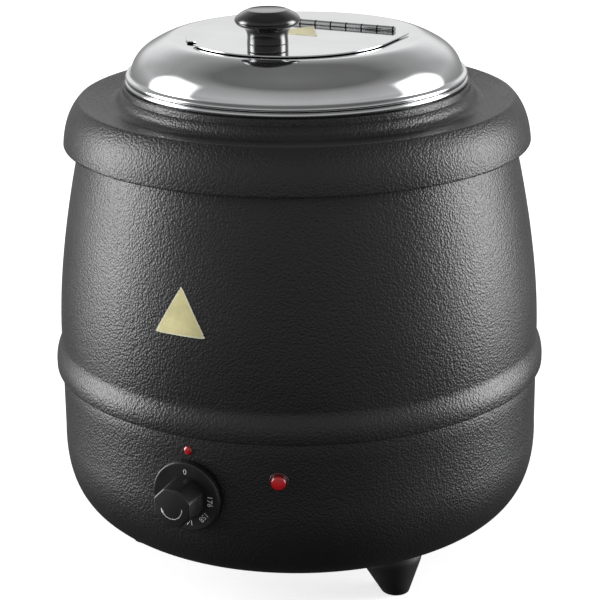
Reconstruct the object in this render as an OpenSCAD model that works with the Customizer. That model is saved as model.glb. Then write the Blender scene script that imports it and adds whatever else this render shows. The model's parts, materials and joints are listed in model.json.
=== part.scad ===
// Wet-well soup kettle: enamelled sheet-metal housing, lift-off collar,
// stainless pot, domed lid with a hinged flap, thermostat dial and lamp.
// Millimetres, +Z up, origin on the floor under the kettle's axis, -Y to the front.

/* [Housing] */
// Radius of the lower shell at its belly
belly_r = 163.6; // [162:0.1:165]
// Radius of the rolled bead where the two shells meet
bead_r = 167.5; // [166.5:0.1:168.5]
// Height of the seam between the two shells
seam_z = 138.7; // [136:0.1:141]
// Height of the flat bottom of the lower shell
floor_z = 34; // [32:0.5:36]
// Thickness of the shell sheet
shell_t = 1; // [0.8:0.1:1.2]

/* [Collar and pot] */
// Radius of the collar's lower edge
collar_r = 155.8; // [154:0.1:158]
// Height of the collar's lower edge
collar_z = 293.5; // [290:0.5:296]
// Thickness of the collar
collar_t = 1.2; // [1:0.1:1.5]
// Outer radius of the pot's wall
pot_r = 110.2; // [105:0.1:110.4]
// Height of the underside of the pot
pot_floor_z = 72; // [68:1:90]
// Thickness of the stainless sheet of pot, well and lid
steel_t = 0.8; // [0.6:0.1:1]
// Outer radius of the water well
well_r = 125; // [122:0.5:127]
// Height of the underside of the water well
well_floor_z = 56; // [54:1:60]

/* [Lid] */
// Height of the lid's flat top
lid_top_z = 361.2; // [360:0.1:363]
// Turn of the lid on the pot
lid_turn = -1; // [-30:1:30]
// Width of the flap, whose front is a half circle
flap_w = 137; // [120:1:140]
// Sideways place of the flap's centre line on the lid
flap_shift = 1; // [0:0.5:4]
// Distance of the hinge pin behind the lid's centre
hinge_y = 29; // [26:0.5:34]
// Number of hinge knuckles
knuckles = 10; // [6:1:10]
// Largest radius of the knob's cap
knob_r = 20.7; // [19:0.1:22]
// Sideways place of the knob on the lid
knob_x = 10; // [-20:0.5:20]
// Distance of the knob in front of the lid's centre
knob_y = 60; // [58:0.5:62]

/* [Controls] */
// Height of the thermostat dial's centre
dial_z = 98.5; // [92:0.5:100]
// Radius of the dial's numbered disc
dial_r = 23.4; // [22:0.1:25]
// Height of the indicator lamp
lamp_z = 113.4; // [108:0.1:118]
// Angle of the lamp round the body from the front
lamp_turn = 20.4; // [18:0.1:26]
// Height of the red pointer above the dial
pointer_z = 128.1; // [124:0.1:130]
// Height of the triangular label's lower edge
label_z = 203; // [190:0.5:220]
// Angle of that label round the body from the front
label_turn = -1.7; // [-20:0.1:20]
// Height of the cord gland at the back
gland_z = 70; // [66:1:80]
// Bore radius of the cord gland
gland_bore_r = 3.9; // [3.5:0.1:5]

/* [Feet] */
// Radius of the ring of three feet at the floor
foot_ring = 112; // [106:1:114]
// Outward lean of each foot
foot_lean = 12; // [8:1:14]
// Radius of a foot where it stands
foot_r = 9; // [8:0.5:10]

/* [Hidden] */
$fn = 96;

eps = 0.01;
big = 400;

// Colours
black_enamel = "#1c1c1e";
black_plastic = "#121214";
steel = "#c9cbce";
zinc = "#a9adb1";
label_yellow = "#efe6a8";
lamp_red = "#c01820";

// Seats and gaps between bodies
seat_z = 317;                           // top flange of the upper shell
ledge_z = 331;                          // collar ledge that carries the pot
ledge_r = 111.2;                        // inner edge of that ledge
pot_bead_r = 1.7;                       // rolled rim of the pot
pot_bead_z = ledge_z + 0.2 + pot_bead_r;
pot_bead_ring = 112.1;
lid_bead_r = 1.4;                       // rolled rim of the lid
lid_bead_z = pot_bead_z + pot_bead_r + 0.4 + lid_bead_r;
lid_bead_ring = 111.8;
plateau_r = 82.5;                       // flat top of the lid

// Flap and hinge
opening_w = 120;
round_y = -10;                          // centre of the half circles of flap and opening
flap_z = lid_top_z + 0.6;               // underside of the flap
flap_t = 0.8;
barrel_r = 2.1;
pin_r = 1;
pin_gap = 0.05;
hinge_z = flap_z + 1.8;
knuckle_w = 11.3;
knuckle_gap = 0.3;
barrel_w = knuckles * knuckle_w;
leaf_w = 104;
leaf_d = 14;
notch_turn = -38.5;                     // ladle notch, from the lid's centre
notch_ring = 77;
notch_r = 6;

// Fasteners
m3_r = 1.5;
m4_r = 2;
m5_r = 2.5;
m6_r = 3;
foot_bolt_ring = 111;
foot_turns = [60, -60, 180];
plate_r = 82;
plate_screw_ring = 78;
well_screw_ring = 130.9;

// Controls
shaft_r = 3;
dial_y = -164.8;                        // back face of the dial's disc
dial_t = 4;
grip_r = 14.6;
grip_front_r = 13.6;
grip_h = 18.5;
lamp_r = 6.2;
wall_r = 163.4;                         // shell radius at the lamp and pointer
body_front = -158.8;                    // front face of the thermostat

function reverse(p) = [for (i = [len(p) - 1 : -1 : 0]) p[i]];

// Quadratic curve from a to c with b as its corner, without its first point
function bend(a, b, c, n = 8) = [for (i = [1 : n]) let (t = i / n)
    (1 - t) * (1 - t) * a + 2 * t * (1 - t) * b + t * t * c];

function toward(a, b) = (b - a) / norm(b - a);
function left(v) = [-v.y, v.x];

// The same outline moved by t to its left, with mitred corners
function inset(p, t) = [for (i = [0 : len(p) - 1]) let (
    last = len(p) - 1,
    back = i == 0 ? toward(p[0], p[1]) : toward(p[i - 1], p[i]),
    ahead = i == last ? back : toward(p[i], p[i + 1]),
    side = left(toward([0, 0], back + ahead)))
    p[i] + side * t / (side * left(back))];

// Sheet metal turned round the Z axis: p is its outer face, t its thickness
module spun_sheet(p, t) {
    rotate_extrude() polygon(concat(p, reverse(inset(p, t))));
}

// Children moved out to radius r, turned by a from the front, facing outward along -Y
module at(a, r, z) {
    rotate(a) translate([0, -r, z]) children();
}

// Cylinder along Y from y0 to y1
module along_y(r, y0, y1, fn = 48) {
    translate([0, y1, 0]) rotate([90, 0, 0]) cylinder(r = r, h = y1 - y0, $fn = fn);
}

// Pan-head screw standing on z = 0 with its shank down, h long
module screw(r, h) {
    cylinder(r = 1.9 * r, h = 1.1 * r, $fn = 32);
    translate([0, 0, -h]) cylinder(r = r, h = h + eps, $fn = 32);
}

module hex_nut(r, h) {
    difference() {
        cylinder(r = 1.9 * r, h = h, $fn = 6);
        translate([0, 0, -eps]) cylinder(r = r, h = h + 2 * eps, $fn = 32);
    }
}

// ---- Housing outlines, bottom to top ----
upper_bead = concat([[belly_r + 0.1, seam_z], [bead_r - 0.9, seam_z]],
    bend([bead_r - 0.9, seam_z], [bead_r, seam_z], [bead_r, seam_z + 1], 3),
    [[bead_r, seam_z + 5]],
    bend([bead_r, seam_z + 5], [bead_r - 0.3, seam_z + 11], [bead_r - 2.6, seam_z + 15]),
    bend([bead_r - 2.6, seam_z + 15], [belly_r - 0.2, seam_z + 18], [belly_r - 0.2, seam_z + 21], 6));
upper_wall = bend([belly_r - 0.2, seam_z + 21], [belly_r - 0.2, 218], [143, 303], 16);
upper_top = concat([[141.6, 308]], bend([141.6, 308], [140.8, seat_z], [136.6, seat_z]), [[127, seat_z]]);

lower_wall = concat([[74, floor_z], [120, floor_z]],
    bend([120, floor_z], [127, floor_z], [137.5, floor_z + 3], 5),
    bend([137.5, floor_z + 3], [belly_r + 2.1, floor_z + 13], [belly_r, floor_z + 60], 16),
    [[belly_r - 0.3, seam_z + 9]]);

module upper_shell() {
    color(black_enamel) difference() {
        spun_sheet(concat(upper_bead, upper_wall, upper_top), shell_t);
        for (a = [0, 120, 240]) at(a, well_screw_ring, seat_z - 5) cylinder(r = m3_r, h = 10, $fn = 32);
    }
}

module lower_shell() {
    color(black_enamel) difference() {
        spun_sheet(lower_wall, shell_t);
        translate([0, 0, dial_z]) along_y(shaft_r + 1.5, -180, -150);
        for (x = [-14, 14]) translate([x, 0, dial_z]) along_y(m4_r, -180, -150);
        rotate(lamp_turn) translate([0, 0, lamp_z]) along_y(5, -180, -150);
        translate([0, 0, gland_z]) along_y(8, 150, 180);
        for (a = foot_turns) at(a, foot_bolt_ring, floor_z - 1) cylinder(r = m5_r, h = 3, $fn = 32);
        for (a = [45 : 90 : 315]) at(a, plate_screw_ring, floor_z - 1) cylinder(r = m3_r, h = 3, $fn = 32);
    }
}

module base_plate() {
    color(zinc) difference() {
        translate([0, 0, floor_z - shell_t]) cylinder(r = plate_r, h = shell_t);
        for (a = [45 : 90 : 315]) at(a, plate_screw_ring, floor_z - 2) cylinder(r = m3_r, h = 3, $fn = 32);
        for (a = [0 : 45 : 315]) at(a, 50, floor_z - 2) cylinder(r = 3, h = 3, $fn = 32);
    }
}

module base_screws() {
    color(zinc) for (a = [45 : 90 : 315])
        at(a, plate_screw_ring, floor_z - shell_t) mirror([0, 0, 1]) screw(m3_r, 7);
}

// ---- Feet ----
module foot(turn) {
    slope = 0.5;
    flare_h = 20;
    top_r = foot_r + slope * flare_h + 1;
    color(black_plastic) rotate(turn) difference() {
        intersection() {
            translate([0, -foot_ring, 0]) rotate([-foot_lean, 0, 0]) rotate_extrude() polygon(concat(
                [[0, -6], [foot_r - 6 * slope, -6], [foot_r + slope * flare_h, flare_h]],
                bend([foot_r + slope * flare_h, flare_h], [top_r, flare_h + 2], [top_r, flare_h + 4], 4),
                [[top_r, 45], [0, 45]]));
            translate([-40, -160, 0]) cube([80, 100, floor_z]);
        }
        translate([0, -foot_bolt_ring, -eps]) cylinder(r = 5.2, h = 18, $fn = 48);
        translate([0, -foot_bolt_ring, 0]) cylinder(r = m5_r, h = 60, $fn = 32);
    }
}

module foot_front_right() {
    foot(foot_turns[0]);
}

module foot_front_left() {
    foot(foot_turns[1]);
}

module foot_rear() {
    foot(foot_turns[2]);
}

module foot_bolts() {
    color(zinc) for (a = foot_turns) at(a, foot_bolt_ring, 18 - eps) mirror([0, 0, 1]) screw(m5_r, 24);
}

module foot_nuts() {
    color(zinc) for (a = foot_turns) at(a, foot_bolt_ring, floor_z + shell_t) hex_nut(m5_r, 4);
}

// ---- Water well and heater ----
module water_well() {
    corner = 8;
    color(steel) {
        difference() {
            spun_sheet(concat([[0, well_floor_z], [well_r - corner, well_floor_z]],
                bend([well_r - corner, well_floor_z], [well_r, well_floor_z], [well_r, well_floor_z + corner]),
                [[well_r, seat_z], [137, seat_z]]), steel_t);
            for (a = [0, 120, 240]) at(a, well_screw_ring, seat_z - 1) cylinder(r = m3_r, h = 3, $fn = 32);
        }
        translate([0, 0, well_floor_z - 18]) cylinder(r = m6_r, h = 18.2, $fn = 32);
    }
}

module well_screws() {
    color(zinc) for (a = [0, 120, 240]) at(a, well_screw_ring, seat_z - shell_t - eps)
        mirror([0, 0, 1]) screw(m3_r, shell_t + steel_t);
}

heater_ring_r = 80;
heater_r = 4;
heater_z = well_floor_z - heater_r;

module heater_ring() {
    tail_turn = 8;
    tail = 30;
    color("#8d8f92") {
        rotate(90 + tail_turn) rotate_extrude(angle = 360 - 2 * tail_turn)
            translate([heater_ring_r, heater_z]) circle(r = heater_r, $fn = 32);
        for (a = [-tail_turn, tail_turn]) rotate(180 + a) translate([0, 0, heater_z]) {
            along_y(heater_r - 0.4, -heater_ring_r - tail, -heater_ring_r, 32);
            along_y(m3_r, -heater_ring_r - tail - 7, -heater_ring_r - tail, 24);
        }
    }
}

module heater_clamp() {
    z0 = heater_z - heater_r;
    color(zinc) difference() {
        rotate_extrude() polygon([[0, z0 - 1.5], [95, z0 - 1.5], [95, z0], [0, z0]]);
        translate([0, 0, z0 - 5]) cylinder(r = m6_r, h = 10, $fn = 32);
    }
}

module heater_nut() {
    color(zinc) translate([0, 0, heater_z - heater_r - 1.5 - 5]) hex_nut(m6_r, 5);
}

cutout_screw_x = 11.5;

module thermal_cutout() {
    color("#3a3228") difference() {
        at(90, 107, well_floor_z - 8) union() {
            cylinder(r = 8, h = 8, $fn = 48);
            translate([-15, -4, 7]) cube([30, 8, 1]);
            for (x = [-4, 4]) translate([x - 1.5, -0.4, -6]) cube([3, 0.8, 6.5]);
        }
        for (x = [-cutout_screw_x, cutout_screw_x]) at(90, 107, well_floor_z - 3) translate([x, 0, 0])
            cylinder(r = m3_r, h = 10, $fn = 24);
    }
}

module cutout_screws() {
    color(zinc) for (x = [-cutout_screw_x, cutout_screw_x]) at(90, 107, well_floor_z - 1) translate([x, 0, 0])
        mirror([0, 0, 1]) screw(m3_r, 1);
}

// ---- Thermostat ----
module thermostat_body() {
    color("#d9d4c4") difference() {
        union() {
            translate([-20, body_front, dial_z - 18]) cube([40, 22, 36]);
            translate([-15, body_front + 22, dial_z - 14]) cube([30, 5, 28]);
        }
        translate([0, 0, dial_z]) along_y(shaft_r + pin_gap, body_front - 1, body_front + 12);
        for (x = [-14, 14]) translate([x, 0, dial_z]) along_y(m4_r, body_front - 1, body_front + 9, 32);
    }
}

module thermostat_bracket() {
    color(zinc) difference() {
        translate([-22, body_front - 1.5, dial_z - 20]) cube([44, 1.5, 40]);
        translate([0, 0, dial_z]) along_y(shaft_r + 1, body_front - 5, body_front + 5);
        for (x = [-14, 14]) translate([x, 0, dial_z]) along_y(m4_r, body_front - 5, body_front + 5, 32);
    }
}

screw_head_r = 3.4;

module thermostat_screws() {
    head_y = -sqrt(pow(belly_r, 2) - pow(14 - screw_head_r, 2)) - 0.05;
    color(zinc) for (x = [-14, 14]) translate([x, 0, dial_z]) {
        along_y(m4_r, head_y - 0.1, body_front + 8, 32);
        along_y(screw_head_r, head_y - 0.9, head_y, 32);
    }
}

bulb_turn = 28;
bulb_r = 3;
bulb_ring = well_r + bulb_r;
bulb_z = dial_z + 6;
tube_r = 0.9;

module thermostat_bulb() {
    neck_r = tube_r + 0.3;
    color("#b87333") {
        rotate(bulb_turn) translate([0, -bulb_ring, bulb_z + 6]) cylinder(r = bulb_r, h = 70, $fn = 32);
        rotate(bulb_turn) translate([0, -bulb_ring, bulb_z - neck_r]) cylinder(r = neck_r, h = 7 + neck_r, $fn = 24);
        rotate(-90 + 4) rotate_extrude(angle = bulb_turn - 4)
            translate([bulb_ring, bulb_z]) circle(r = tube_r, $fn = 24);
        rotate(4) translate([0, 0, bulb_z]) along_y(neck_r, -bulb_ring - 4.1, -bulb_ring + neck_r, 24);
    }
}

module bulb_clip() {
    color(steel) at(bulb_turn, bulb_ring, bulb_z + 36) difference() {
        union() {
            cylinder(r = bulb_r + 1, h = 12, $fn = 32);
            translate([-10, 1.6, 0]) cube([20, 1, 12]);
        }
        translate([0, 0, -eps]) cylinder(r = bulb_r, h = 13, $fn = 32);
        translate([-20, 2.6, -1]) cube([40, 10, 14]);
    }
}

// ---- Lamp, pointer and labels ----
module lamp_lens() {
    rise = 4.6;
    color(lamp_red) rotate(lamp_turn) translate([0, -wall_r - 0.1, lamp_z]) rotate([90, 0, 0])
        rotate_extrude() polygon(concat([[0, 0], [lamp_r, 0], [lamp_r, 1.1], [4.9, 1.1], [4.7, 3]],
            bend([4.7, 3], [4.5, rise], [0, rise], 10)));
}

module lamp_body() {
    color(black_plastic) rotate(lamp_turn) translate([0, 0, lamp_z]) {
        along_y(5, -wall_r - 0.1, -wall_r + 22);
        for (x = [-2.5, 2.5]) translate([x, 0, 0]) along_y(0.8, -wall_r + 21, -wall_r + 28, 24);
    }
}

module lamp_nut() {
    color(steel) rotate(lamp_turn) translate([0, -wall_r + 6, lamp_z]) rotate([90, 0, 0]) difference() {
        cylinder(r = 8.5, h = 3, $fn = 6);
        translate([0, 0, -1]) cylinder(r = 5, h = 5, $fn = 48);
    }
}

module pointer_dot() {
    color(lamp_red) intersection() {
        rotate_extrude() polygon([[wall_r + 0.05, pointer_z - 5], [wall_r + 0.6, pointer_z - 5],
            [wall_r + 0.6, pointer_z + 5], [wall_r + 0.05, pointer_z + 5]]);
        translate([0, 0, pointer_z]) along_y(3, -180, -150);
    }
}

label_side = 36;
label_t = 0.2;

// Equilateral triangle with rounded corners, base centred on the origin, tip to +Y
module label_prism(h) {
    tip = label_side * sqrt(3) / 2;
    cut = 1.5;
    linear_extrude(h) polygon([[cut - label_side / 2, 0], [label_side / 2 - cut, 0],
        [label_side / 2 - cut / 2, cut * 0.87], [cut / 2, tip - cut * 0.87],
        [-cut / 2, tip - cut * 0.87], [cut / 2 - label_side / 2, cut * 0.87]]);
}

module body_label() {
    outer = [for (p = upper_wall) p + [label_t, 0]];
    color(label_yellow) intersection() {
        rotate_extrude() polygon(concat(outer, reverse(upper_wall)));
        rotate(label_turn) translate([0, -140, label_z]) rotate([90, 0, 0]) label_prism(40);
    }
}

// ---- Terminals and cord gland ----
module terminal_block() {
    color("#e8e2d2") at(150, 112, floor_z + shell_t) difference() {
        translate([-16, -7, 0]) cube([32, 14, 12]);
        translate([0, 0, -1]) cylinder(r = m3_r, h = 20, $fn = 24);
        for (x = [-11, -4.5, 4.5, 11]) translate([x, 0, 5]) cylinder(r = 2, h = 8, $fn = 24);
    }
}

module terminal_screw() {
    color(zinc) at(150, 112, floor_z + shell_t + 12) screw(m3_r, 12);
}

module earth_stud() {
    color("#c8a13c") at(215, 108, floor_z + shell_t) {
        cylinder(r = m4_r, h = 12, $fn = 32);
        translate([0, 0, 3]) cylinder(r = 4, h = 3, $fn = 6);
    }
}

gland_y = 163.6;                        // outer face of the lower shell at the gland
gland_flange_t = 5;
gland_neck_r = 9;
gland_neck = 7.4;
gland_len = 22.9;                       // how far the closed gland stands out

module cord_gland() {
    color(black_plastic) translate([0, 0, gland_z]) difference() {
        union() {
            along_y(8, gland_y - 15, gland_y + eps);
            translate([0, gland_y, 0]) rotate([-90, 0, 0]) cylinder(r = 13, h = gland_flange_t, $fn = 6);
            along_y(gland_neck_r, gland_y + gland_flange_t - eps, gland_y + gland_flange_t + gland_neck);
        }
        along_y(gland_bore_r, gland_y - 20, gland_y + 30);
    }
}

module gland_cap() {
    foot_y = gland_flange_t + 0.2;
    roof_y = gland_flange_t + gland_neck + 0.2;
    color(black_plastic) translate([0, gland_y, gland_z]) rotate([-90, 0, 0]) rotate_extrude() polygon(concat(
        [[gland_neck_r, foot_y], [12, foot_y], [12, 12]],
        bend([12, 12], [11.6, 16.5], [8, gland_len], 8),
        [[gland_bore_r, gland_len], [gland_bore_r, roof_y], [gland_neck_r, roof_y]]));
}

module gland_nut() {
    color(black_plastic) translate([0, gland_y - 7.6, gland_z]) rotate([90, 0, 0]) difference() {
        cylinder(r = 12.5, h = 5, $fn = 6);
        translate([0, 0, -1]) cylinder(r = 8, h = 7, $fn = 48);
    }
}

// A wire round the floor of the lower shell, from angle a to angle b
module wire(colour, r, a, b) {
    wire_r = 1.4;
    color(colour) rotate(a - 90) rotate_extrude(angle = b - a)
        translate([r, floor_z + 12]) circle(r = wire_r, $fn = 16);
}

module wiring() {
    wire("#7a4a22", 116, 10, 141.7);
    wire("#2b5fb0", 111, 24, 141.4);
    wire("#4a9a3c", 108, 158.8, 213.8);
    wire("#7a4a22", 116, 158.3, 350);
}

// ---- Lift-off collar and pot ----
module collar() {
    color(black_enamel) spun_sheet(concat([[collar_r, collar_z]],
        bend([collar_r, collar_z], [collar_r - 1.5, collar_z + 18.5], [144.8, 321.2], 14),
        bend([144.8, 321.2], [144, 321.8], [142.6, 321.6], 3),
        [[127, 319.5]],
        bend([127, 319.5], [120.6, 318.7], [118.4, 323.2], 6),
        [[117, 326], [115.5, 327], [115.2, ledge_z - 0.8]],
        bend([115.2, ledge_z - 0.8], [115.2, ledge_z], [114.2, ledge_z], 3),
        [[ledge_r, ledge_z]]), collar_t);
}

module pot() {
    corner = 22;
    wall = concat([[0, pot_floor_z], [pot_r - corner, pot_floor_z]],
        bend([pot_r - corner, pot_floor_z], [pot_r, pot_floor_z], [pot_r, pot_floor_z + corner], 10),
        [[pot_r, ledge_z]],
        bend([pot_r, ledge_z], [pot_r, pot_bead_z + pot_bead_r - steel_t],
            [pot_bead_ring, pot_bead_z + pot_bead_r - steel_t], 4));
    color(steel) union() {
        spun_sheet(wall, steel_t);
        rotate_extrude() translate([pot_bead_ring, pot_bead_z]) circle(r = pot_bead_r, $fn = 32);
    }
}

// ---- Lid ----
lid_outline = concat([[lid_bead_ring, lid_bead_z + lid_bead_r], [111, lid_bead_z + lid_bead_r]],
    bend([111, lid_bead_z + lid_bead_r], [109.8, lid_bead_z + lid_bead_r], [109.5, 339.6], 3),
    bend([109.5, 339.6], [107.4, 349.4], [97.5, 355.2], 10),
    bend([97.5, 355.2], [87.3, lid_top_z], [plateau_r, lid_top_z], 10),
    [[0, lid_top_z]]);

// Outline w wide with a half-round front, that ends straight at rear_y
function half_round(w, rear_y) = concat(
    [for (a = [180 : 3.75 : 360]) [flap_shift + w / 2 * cos(a), round_y + w / 2 * sin(a)]],
    [[flap_shift + w / 2, rear_y], [flap_shift - w / 2, rear_y]]);

// The serving opening under the flap, with its ladle notch
module lid_opening(z0, h) {
    translate([0, 0, z0]) linear_extrude(h) polygon(half_round(opening_w, hinge_y + 0.9));
    rotate(notch_turn) translate([0, notch_r - notch_ring, z0]) cylinder(r = notch_r, h = h, $fn = 48);
    translate([flap_shift - barrel_w / 2 - 0.3, hinge_y - 0.5, z0]) cube([barrel_w + 0.6, 1.4, h]);
}

module lid_dome() {
    lip_r = 108.6;
    lip_z = ledge_z - 0.6;
    color(steel) rotate(lid_turn) difference() {
        union() {
            spun_sheet(lid_outline, steel_t);
            rotate_extrude() translate([lid_bead_ring, lid_bead_z]) circle(r = lid_bead_r, $fn = 32);
            rotate_extrude() polygon([[lip_r - steel_t, lip_z], [lip_r, lip_z], [lip_r, 338.4],
                [109.2, 338.4], [109.2, 339.2], [lip_r - steel_t, 339.2]]);
        }
        lid_opening(lid_top_z - 3, 6);
    }
}

// The barrel pieces first, first + 2, ... each with a web reaching y0..y1, z0..z1 at the pin
module knuckle_row(first, y0, y1, z0, z1) {
    bore_r = pin_r + pin_gap;
    difference() {
        for (i = [first : 2 : knuckles - 1]) {
            x0 = flap_shift - barrel_w / 2 + i * knuckle_w + knuckle_gap / 2;
            w = knuckle_w - knuckle_gap;
            translate([x0, hinge_y, hinge_z]) rotate([0, 90, 0]) cylinder(r = barrel_r, h = w, $fn = 48);
            translate([x0, hinge_y + y0, z0]) cube([w, y1 - y0, z1 - z0]);
        }
        translate([flap_shift - big / 2, hinge_y, hinge_z]) rotate([0, 90, 0])
            cylinder(r = bore_r, h = big, $fn = 48);
    }
}

module lid_hinge_leaf() {
    z0 = lid_top_z - steel_t - 0.8;
    color(steel) rotate(lid_turn) {
        knuckle_row(0, -0.2, 0.6, z0 + 0.4, hinge_z - 1.6);
        translate([flap_shift - barrel_w / 2 + 0.2, hinge_y - 0.2, z0]) cube([barrel_w - 0.4, leaf_d, 0.8]);
    }
}

module hinge_pin() {
    color(steel) rotate(lid_turn) translate([flap_shift - barrel_w / 2 - 0.4, hinge_y, hinge_z])
        rotate([0, 90, 0]) {
            cylinder(r = pin_r, h = barrel_w + 0.8, $fn = 48);
            for (x = [-0.6, barrel_w + 0.8]) translate([0, 0, x]) cylinder(r = 1.5, h = 0.6, $fn = 48);
        }
}

module flap_plate() {
    color(steel) rotate(lid_turn) difference() {
        translate([0, 0, flap_z]) linear_extrude(flap_t) polygon(half_round(flap_w, hinge_y - 2.5));
        rotate(notch_turn) translate([0, -notch_ring, flap_z - 1]) cylinder(r = notch_r, h = 5, $fn = 48);
        translate([knob_x, -knob_y, flap_z - 1]) cylinder(r = m5_r, h = 5, $fn = 32);
    }
}

module flap_hinge_leaf() {
    color(steel) rotate(lid_turn) {
        knuckle_row(1, -3, 0, flap_z - 0.8, flap_z);
        translate([flap_shift - leaf_w / 2, hinge_y - 2.6 - leaf_d, flap_z - 0.8])
            cube([leaf_w, leaf_d, 0.8]);
    }
}

module lid_knob() {
    base_r = 13.1;
    k = flap_z + flap_t;
    color(black_plastic) rotate(lid_turn) translate([knob_x, -knob_y, k]) rotate_extrude() polygon(concat(
        [[m5_r, 0], [base_r, 0], [base_r, 4.7], [base_r - 0.3, 5], [base_r, 5.3], [base_r - 0.2, 8.6]],
        bend([base_r - 0.2, 8.6], [base_r, 14.4], [knob_r - 3, 15.9], 8),
        bend([knob_r - 3, 15.9], [knob_r, 17], [knob_r, 19.5], 6),
        bend([knob_r, 19.5], [knob_r - 0.8, 22.6], [13.4, 25.5], 8),
        bend([13.4, 25.5], [12.4, 26.1], [11.4, 25.5], 4),
        [[0, 24.8], [0, 19], [m5_r, 19]]));
}

module knob_screw() {
    color(zinc) rotate(lid_turn) translate([knob_x, -knob_y, flap_z - 1])
        mirror([0, 0, 1]) screw(m5_r, 17);
}

module knob_washer() {
    color(zinc) rotate(lid_turn) translate([knob_x, -knob_y, flap_z - 1]) difference() {
        cylinder(r = 5.5, h = 1, $fn = 48);
        translate([0, 0, -1]) cylinder(r = m5_r, h = 3, $fn = 32);
    }
}

module flap_label() {
    color(label_yellow) rotate(lid_turn) translate([flap_shift + 1, -7, flap_z + flap_t]) label_prism(label_t);
}

// ---- Dial ----
module dial_knob() {
    grip_sides = 8;
    color(black_plastic) translate([0, dial_y, dial_z]) rotate([90, 0, 0]) difference() {
        union() {
            rotate_extrude() polygon(concat([[0, 0], [dial_r, 0], [dial_r, dial_t - 1.2]],
                bend([dial_r, dial_t - 1.2], [dial_r, dial_t], [dial_r - 1.5, dial_t], 4), [[0, dial_t]]));
            translate([0, 0, dial_t - eps]) rotate(180 / grip_sides)
                cylinder(r1 = grip_r, r2 = grip_front_r, h = grip_h + eps, $fn = grip_sides);
        }
        translate([0, 0, -eps]) cylinder(r = shaft_r, h = 10, $fn = 48);
    }
}

module dial_shaft() {
    color(steel) translate([0, 0, dial_z]) along_y(shaft_r, dial_y - 9.9, body_front + 10);
}

upper_shell();
lower_shell();
base_plate();
base_screws();
foot_front_right();
foot_front_left();
foot_rear();
foot_bolts();
foot_nuts();
water_well();
well_screws();
heater_ring();
heater_clamp();
heater_nut();
thermal_cutout();
cutout_screws();
thermostat_body();
thermostat_bracket();
thermostat_screws();
thermostat_bulb();
bulb_clip();
lamp_lens();
lamp_body();
lamp_nut();
pointer_dot();
body_label();
terminal_block();
terminal_screw();
earth_stud();
cord_gland();
gland_cap();
gland_nut();
wiring();
collar();
pot();
lid_dome();
lid_hinge_leaf();
hinge_pin();
flap_plate();
flap_hinge_leaf();
lid_knob();
knob_screw();
knob_washer();
flap_label();
dial_knob();
dial_shaft();
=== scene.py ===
"""Looks of a wet-well soup kettle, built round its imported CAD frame.

+Z is up and the kettle's front faces -Y. Blender's own values are metres; outlines are drawn in
millimetres, like the CAD, and scaled by MM when their mesh is made.
"""

import json
import math

import bmesh
import bpy
from mathutils import Matrix, Vector


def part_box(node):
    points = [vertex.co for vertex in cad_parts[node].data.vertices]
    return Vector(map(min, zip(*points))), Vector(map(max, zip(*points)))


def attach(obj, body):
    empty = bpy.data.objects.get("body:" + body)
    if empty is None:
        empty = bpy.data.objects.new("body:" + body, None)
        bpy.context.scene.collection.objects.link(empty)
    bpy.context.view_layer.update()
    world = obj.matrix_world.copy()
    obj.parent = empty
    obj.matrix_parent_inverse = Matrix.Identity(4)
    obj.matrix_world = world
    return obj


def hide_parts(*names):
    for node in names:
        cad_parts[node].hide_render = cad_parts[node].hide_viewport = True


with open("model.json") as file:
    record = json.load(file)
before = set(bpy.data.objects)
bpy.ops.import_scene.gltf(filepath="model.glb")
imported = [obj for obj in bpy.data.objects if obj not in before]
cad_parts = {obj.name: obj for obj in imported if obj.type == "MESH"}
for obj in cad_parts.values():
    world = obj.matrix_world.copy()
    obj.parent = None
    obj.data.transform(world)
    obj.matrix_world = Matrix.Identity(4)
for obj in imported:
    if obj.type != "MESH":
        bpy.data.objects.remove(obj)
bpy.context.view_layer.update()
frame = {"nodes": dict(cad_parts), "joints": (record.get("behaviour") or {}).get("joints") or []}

MM = 0.001


# ---------------------------------------------------------------- driving sizes, in mm, from the frame

def corners(node):
    """Lowest and highest corner of a CAD node, in mm."""
    low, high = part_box(node)
    return low / MM, high / MM


def middle(node):
    """Middle of a CAD node's box, in mm."""
    low, high = corners(node)
    return (low + high) / 2


def joint(name):
    return next(j for j in frame["joints"] if j["name"] == name)


BEAD_R = corners("upper_shell")[1].x
SEAM_Z = corners("upper_shell")[0].z
SEAT_Z = corners("upper_shell")[1].z
BELLY_R = corners("lower_shell")[1].x
FLOOR_Z = corners("lower_shell")[0].z
COLLAR_R = corners("collar")[1].x
COLLAR_Z = corners("collar")[0].z
LEDGE_Z = corners("collar")[1].z
POT_FLOOR_Z = corners("pot")[0].z
POT_TOP_Z = corners("pot")[1].z
POT_RIM_R = corners("pot")[1].x
LID_TOP_Z = corners("lid_dome")[1].z
LID_RIM_R = corners("lid_dome")[1].x
FLAP_Z = corners("flap_plate")[0].z
FLAP_TOP_Z = corners("flap_plate")[1].z
KNOB_MIDDLE = middle("lid_knob")
KNOB_BASE_Z = corners("lid_knob")[0].z
KNOB_R = corners("lid_knob")[1].x - KNOB_MIDDLE.x
DIAL_BACK_Y = corners("dial_knob")[1].y
DIAL_FRONT_Y = corners("dial_knob")[0].y
DIAL_Z = middle("dial_knob").z
DIAL_R = corners("dial_knob")[1].x
HINGE_AXIS = joint("flap_hinge")["axis"]
LID_TURN = math.atan2(-HINGE_AXIS[1], -HINGE_AXIS[0])
HINGE_Y = Vector(joint("flap_hinge")["pos_m"][:2]).length / MM

SHELL_T = 1.0
COLLAR_T = 1.2
STEEL_T = 0.8
SEGMENTS = 256


# ---------------------------------------------------------------- outlines, in mm

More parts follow.
